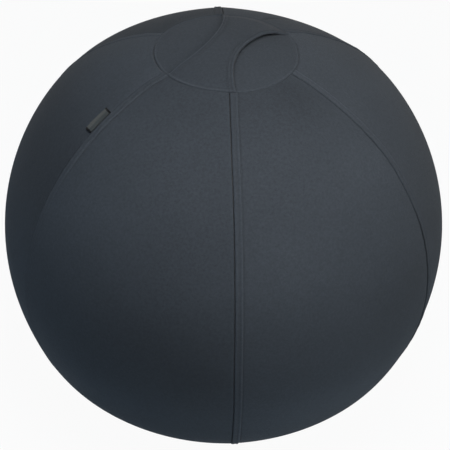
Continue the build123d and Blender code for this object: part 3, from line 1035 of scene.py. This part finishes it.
def makeTopDisc():
    run = makeRun(0.0, ballForm["capTilt"], 800)
    total = run[-1][1] - capRound["seamGap"]
    lengths = [total * step / capRound["rings"] * capRound["ringShare"] for step in range(capRound["rings"] + 1)]
    lengths += [total - value for value in capRound["nearRing"]]
    profile = [outlinePoint(tiltAlong(run, length), roundLift(capRound, total - length)) for length in lengths]
    profile.append(outlinePoint(tiltAlong(run, total), -capRound["turnIn"]))
    shape = spunCloth(profile, capRound["turns"])
    shade = shape.verts.layers.float.new("clothToneAndLight")
    for vert in shape.verts:
        vert[shade] = capToneAndShadow(vert.co)
    holdStretched(makePiece("topDisc", shape, capCloth), "top_disc")


def makeBaseDisc():
    run = makeRun(ballForm["baseTilt"], 180.0, 400)
    footRadius = outlinePoint(180.0)[0]
    profile = [outlinePoint(ballForm["baseTilt"], -baseRound["turnIn"])]
    profile += [outlinePoint(tiltAlong(run, value), roundLift(baseRound, value)) for value in baseRound["nearRing"]]
    profile += [outlinePoint(tiltAlong(run, value)) for value in (baseRound["bendFrom"], run[-1][1])]
    profile += [(footRadius * share, 0.0) for share in baseRound["footShares"]]
    disc = makePiece("baseDisc", spunCloth(profile, baseRound["turns"]), baseCloth)
    holdStretched(disc, "base_disc")


makeTopDisc()
makeBaseDisc()
print("cap and base rounds made")
for end in (False, True):
    makeStrapHalf(end)
print("handle made")


# label tab in the left seam: a ribbon folded over, both its ends in the seam
labelTab = {
    "azimuth": -60.0,
    "tilt": 32.0,
    "length": 0.0385,
    "width": 0.0112,
    "start": 0.0006,
    "root": 0.0072,  # from the hinge line to the seam it is sewn into
    "slant": 0.06,
    "lift": 0.0004,
    "spring": 0.45,  # slope at which its outer half stands off the cover
    "sag": 0.55,
    "curl": 0.0005,
    "thick": 0.0010,
    "foldReach": 0.0012,
    "rows": 38,
    "columns": 16,
    "flat": (0.0240, 0.040),
    "ribbon": (0.062, 0.072, 0.078),
    "ends": (0.004, 0.004, 0.005),
    "endWidth": 0.0027,
    "ribPitch": 0.00055,
    "threadPitch": 0.0004,
}


def makeLabelWeave():
    ribbon = Finish("labelWeave")
    across, along = ribbon.clothMap()
    rib = (along * (2 * math.pi / labelTab["ribPitch"])).wave() * 0.5 + 0.5
    fine = (across * (2 * math.pi / labelTab["threadPitch"])).wave() * 0.5 + 0.5
    edge = along.size().above(labelTab["length"] / 2 - labelTab["endWidth"])
    colour = ribbon.mix(edge, (*labelTab["ribbon"], 1.0), (*labelTab["ends"], 1.0))
    return ribbon.surface(
        {
            "Base Color": ribbon.shaded(colour, rib * 0.22 + fine * 0.12 + 0.82),
            "Roughness": rib * 0.15 + 0.5,
            "Normal": ribbon.bump(0.6, 0.00008, rib + fine * 0.5),
            "Specular IOR Level": 0.35,
        }
    )


def labelProfile():
    # from the seam along the top layer, round the fold and back underneath
    tab = labelTab
    bend = tab["thick"] / 2
    straight = tab["width"] - bend - tab["start"]
    reaches = [tab["start"] + straight * step / tab["columns"] for step in range(tab["columns"] + 1)]
    profile = [(reach, tab["thick"]) for reach in reaches]
    for step in range(1, 6):
        angle = math.pi * step / 6
        profile.append((tab["width"] - bend + bend * math.sin(angle), bend + bend * math.cos(angle)))
    return profile + [(reach, 0.0) for reach in reversed(reaches)]


def makeLabel():
    tab = labelTab
    radius, height = outlinePoint(tab["tilt"])
    out, up = normalAt(tab["tilt"])
    root = aroundAxis(radius, height, tab["azimuth"])
    outward = aroundAxis(out, up, tab["azimuth"])
    downward = aroundAxis(up, -out, tab["azimuth"])
    away = downward.cross(outward).normalized()
    if away.dot(aroundAxis(1.0, 0.0, tab["azimuth"] - 90)) < 0:
        away = -away
    profile = labelProfile()
    lengths = [0.0]
    for before, here in zip(profile, profile[1:]):
        lengths.append(lengths[-1] + math.dist(before, here))

    def alongTab(row):
        return tab["length"] * (row / tab["rows"] - 0.5)

    def place(column, row):
        along = alongTab(row)
        reach, rise = profile[column]
        sag = along * along / (2 * ballForm["shoulderRadius"]) * tab["sag"]
        curl = tab["curl"] * (reach / tab["width"]) ** 2 * math.sin(along * 130 + 0.6)
        stand = tab["spring"] * max(0.0, reach - tab["root"])
        sideways = reach - tab["root"] - tab["slant"] * along
        return root + downward * along + away * sideways + outward * (tab["lift"] + rise + stand - sag + curl)

    def grain(column, row):
        return lengths[column], alongTab(row)

    shape = clothGrid(len(profile) - 1, tab["rows"], place, grain)
    bmesh.ops.recalc_face_normals(shape, faces=shape.faces[:])
    top = max(shape.faces, key=lambda face: face.calc_center_median().dot(outward))
    if top.normal.dot(outward) < 0:
        bmesh.ops.reverse_faces(shape, faces=shape.faces)
    label = makePiece("labelTab", shape, makeLabelWeave())
    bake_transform(label)
    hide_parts("side_label")


makeLabel()
print("label tab made")


# zip in the back seam: woven tapes, moulded teeth, and the solids of its slider, puller and stops
zipForm = {
    "centre": (ballForm["ballRadius"] - ballForm["sideRadius"], ballForm["middleHeight"]),
    "radius": ballForm["sideRadius"],
    "tapeEdge": 0.0026,
    "tapeLow": 0.0003,
    "tapeThick": 0.0006,
    "tapeLength": 0.325,
    "rows": 150,
    "flat": (0.0112, 0.326),
    "stitchRun": 0.318,
    "stitchTilts": (58.6, 52.8),  # the first, and how far on the last is
    "stitchFromEdge": 0.0062,
    "stitchLift": 0.00052,
    "pitch": 0.0040,
    "toothLength": 0.0017,
    "toothDepth": 0.0022,
    "toothPast": 0.0005,
    "toothBevel": 0.0004,
    "topRoom": 0.0072,
    "sliderTilt": 107.0,
    "bottomRoom": 0.0025,
}
tapeProfile = [(0.0, 0.0002), (0.0, 0.0004), (0.0003, 0.0006), (0.0012, 0.0006), (0.0022, 0.00052)]
tapeProfile += [(0.0035, 0.0006), (0.0055, 0.0006), (0.0062, 0.00045), (0.0070, 0.0006), (0.0090, 0.0006)]
tapeProfile += [(0.0104, 0.0006), (0.0108, 0.0005), (0.0110, 0.0003), (0.0110, 0.0)]


def zipPlace(sideways, tilt, lift):
    out, up = normalAt(tilt)
    reach = zipForm["radius"] + lift
    return Vector((sideways, zipForm["centre"][0] + reach * out, zipForm["centre"][1] + reach * up))


def makeZipTape(name, side):
    tape = zipForm
    top, bottom = zipWindow["topTilt"], zipWindow["bottomTilt"]

    def place(column, row):
        reach, rise = tapeProfile[column]
        tilt = top + (bottom - top) * row / tape["rows"]
        return zipPlace(side * (tape["tapeEdge"] + reach), tilt, tape["tapeLow"] + rise)

    def grain(column, row):
        return tapeProfile[column][0], row / tape["rows"] * tape["tapeLength"]

    shape = clothGrid(len(tapeProfile) - 1, tape["rows"], place, grain)
    faceOut(shape, Vector((0, 1, 0)))
    piece = makePiece("zipTape" + name, shape, tapeCloth)
    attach(piece, "ball")
    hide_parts("zip_tape_" + name.lower())
    threads = bmesh.new()
    count = int(tape["stitchRun"] / stitch["pitch"])
    first, span = tape["stitchTilts"]
    for step in range(count):
        tilt = first + span * (step + 0.5) / count
        out, up = normalAt(tilt)
        sideways = side * (tape["tapeEdge"] + tape["stitchFromEdge"])
        spot = zipPlace(sideways, tilt, tape["tapeLow"] + tape["stitchLift"])
        addStitch(threads, spot, Vector((0, up, -out)), Vector((0, out, up)))
    makeThreads("zipStitches" + name, threads)


def makeZipTeeth(name, side, shift):
    chain = zipForm
    pitchTilt = math.degrees(chain["pitch"] / chain["radius"])
    chainTop = zipWindow["topTilt"] + math.degrees(chain["topRoom"] / chain["radius"])
    chainBottom = chain["sliderTilt"] + math.degrees(chain["bottomRoom"] / chain["radius"])
    middleLift = chain["tapeLow"] + chain["tapeThick"] / 2
    width = chain["tapeEdge"] + chain["toothPast"]
    size = Matrix.Diagonal((width, chain["toothLength"], chain["toothDepth"], 1.0))
    bevel = {"offset": chain["toothBevel"], "offset_type": "OFFSET", "affect": "EDGES"}
    bevel |= {"segments": 1, "profile": 0.5, "material": -1}
    shape = bmesh.new()
    for index in range(int((chainBottom - chainTop) / pitchTilt)):
        tilt = chainBottom - (index + shift) * pitchTilt
        out, up = normalAt(tilt)
        turn = Matrix((Vector((1, 0, 0)), Vector((0, up, -out)), Vector((0, out, up)))).transposed().to_4x4()
        spot = zipPlace(side * (chain["tapeEdge"] - chain["toothPast"]) / 2, tilt, middleLift)
        made = bmesh.ops.create_cube(shape, size=1.0, matrix=Matrix.Translation(spot) @ turn @ size)
        edges = list({edge for vert in made["verts"] for edge in vert.link_edges})
        bmesh.ops.bevel(shape, geom=edges, **bevel)
    bmesh.ops.recalc_face_normals(shape, faces=shape.faces)
    piece = makePiece("zipTeeth" + name, shape, zipPlastic)
    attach(piece, "ball")
    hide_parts("zip_teeth_" + name.lower())


for name, side, shift in (("Left", -1, 0.0), ("Right", 1, 0.5)):
    makeZipTape(name, side)
    makeZipTeeth(name, side, shift)
print("zip made")


# bladder inside the cover, smooth, in place of its faceted solid
bladder = {"inset": 0.0055, "rings": 60, "lowTilts": [165.0, 172.0, 180.0], "floorRadius": 0.04, "turns": 96}


def makeBladder():
    tilts = [ballForm["baseTilt"] * step / bladder["rings"] for step in range(bladder["rings"] + 1)]
    profile = [outlinePoint(tilt, -bladder["inset"]) for tilt in tilts + bladder["lowTilts"]]
    profile += [(bladder["floorRadius"], profile[-1][1]), (0.0, profile[-1][1])]
    skin = makePiece("innerBall", spunCloth(profile, bladder["turns"]), bladderSkin)
    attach(skin, "ball")
    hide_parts("inner_ball")


makeBladder()
nodeFinishes = {
    "valve_seat": valvePlastic,
    "valve_plug": valvePlastic,
    "ballast": sandGrain,
    "zip_slider": zipEnamel,
    "zip_puller": zipEnamel,
    "zip_lower_stops": zipPlastic,
    "zip_upper_stop": zipPlastic,
}
for name, finish in nodeFinishes.items():
    mesh = nodes[name].data
    mesh.materials.clear()
    mesh.materials.append(finish)
print("inner parts finished")


# floor, light and camera
studio = {
    "floorSize": 9.0,
    "floorLow": -0.0002,
    "floorWhite": 0.95,  # share of plain white that the camera sees, the rest takes the shadow
    "floorMatte": (0.68, 0.85, 0.99, 1.0),
    "ambient": 0.014,
    "lamps": [
        ("topLamp", (10.0, 70.0), 1.5, 0.8, 12.4, (1.0, 0.955, 0.89)),
        ("keyLamp", (47.0, 30.0), 2.0, 1.0, 9.65, (1.0, 0.955, 0.89)),
        ("fillLamp", (-90.0, 20.0), 3.0, 1.8, 12.4, (0.60, 0.82, 1.0)),
        ("backLamp", (180.0, 4.0), 3.0, 1.8, 14.0, (1.0, 1.0, 1.0)),
    ],
}
photoView = {
    "azimuth": -2.4,
    "elevation": 39.5,
    "roll": 0.8,
    "distance": 5.6,
    "lens": 96.36,
    "shiftX": 0.0033,
    "shiftY": 0.0009,
}
white = (1.0, 1.0, 1.0, 1.0)


def makeFloor():
    shape = bmesh.new()
    bmesh.ops.create_grid(shape, x_segments=1, y_segments=1, size=studio["floorSize"])
    paper = Finish("floorPaper")
    seen = paper.node("ShaderNodeLightPath", {}, {})
    share = (seen + seen.beside("Is Glossy Ray") + seen.beside("Is Transmission Ray")) * studio["floorWhite"]
    matte = paper.node("ShaderNodeBsdfDiffuse", {}, {"Color": studio["floorMatte"]})
    glow = paper.node("ShaderNodeEmission", {}, {"Color": white, "Strength": 1.0})
    block = paper.close(paper.node("ShaderNodeMixShader", {}, {0: share, 1: matte, 2: glow}))
    mesh = bpy.data.meshes.new("floor")
    shape.to_mesh(mesh)
    shape.free()
    mesh.materials.append(block)
    floor = bpy.data.objects.new("floor", mesh)
    floor.location.z = studio["floorLow"]
    bpy.context.scene.collection.objects.link(floor)


def makeSky():
    world = bpy.data.worlds.new("studio")
    bpy.context.scene.world = world
    sky = Finish("studio", world)
    seen = sky.node("ShaderNodeLightPath", {}, {})
    strength = seen * (1.0 - studio["ambient"]) + studio["ambient"]
    glow = sky.node("ShaderNodeBackground", {}, {"Color": white, "Strength": strength})
    sky.node("ShaderNodeOutputWorld", {}, {"Surface": glow})


def sightLine(azimuth, elevation):
    out, up = normalAt(90.0 - elevation)
    return aroundAxis(out, up, azimuth)


def makeLamp(name, aim, distance, size, power, tint):
    place = sightLine(*aim) * distance
    lamp = bpy.data.lights.new(name, "AREA")
    lamp.shape = "DISK"
    lamp.size = size
    lamp.energy = power
    lamp.color = tint
    holder = bpy.data.objects.new(name, lamp)
    holder.location = place + Vector((0, 0, ballForm["middleHeight"]))
    holder.rotation_euler = (-place).to_track_quat("-Z", "Y").to_euler()
    bpy.context.scene.collection.objects.link(holder)


def makeCamera():
    back = sightLine(photoView["azimuth"], photoView["elevation"])
    level = aroundAxis(1.0, 0.0, photoView["azimuth"] + 90.0)
    upward = back.cross(level)
    roll = math.radians(photoView["roll"])
    right = level * math.cos(roll) + upward * math.sin(roll)
    top = upward * math.cos(roll) - level * math.sin(roll)
    lens = bpy.data.cameras.new("photoCamera")
    lens.lens = photoView["lens"]
    lens.sensor_width = 36.0
    lens.shift_x = photoView["shiftX"]
    lens.shift_y = photoView["shiftY"]
    camera = bpy.data.objects.new("photoCamera", lens)
    turn = Matrix((right, top, back)).transposed().to_4x4()
    middle = Vector((0, 0, ballForm["middleHeight"]))
    camera.matrix_world = Matrix.Translation(middle + back * photoView["distance"] * ballForm["ballRadius"]) @ turn
    bpy.context.scene.collection.objects.link(camera)
    bpy.context.scene.camera = camera


makeFloor()
makeSky()
for lamp in studio["lamps"]:
    makeLamp(*lamp)
makeCamera()
bpy.context.scene.view_settings.view_transform = "Standard"
print("studio made")
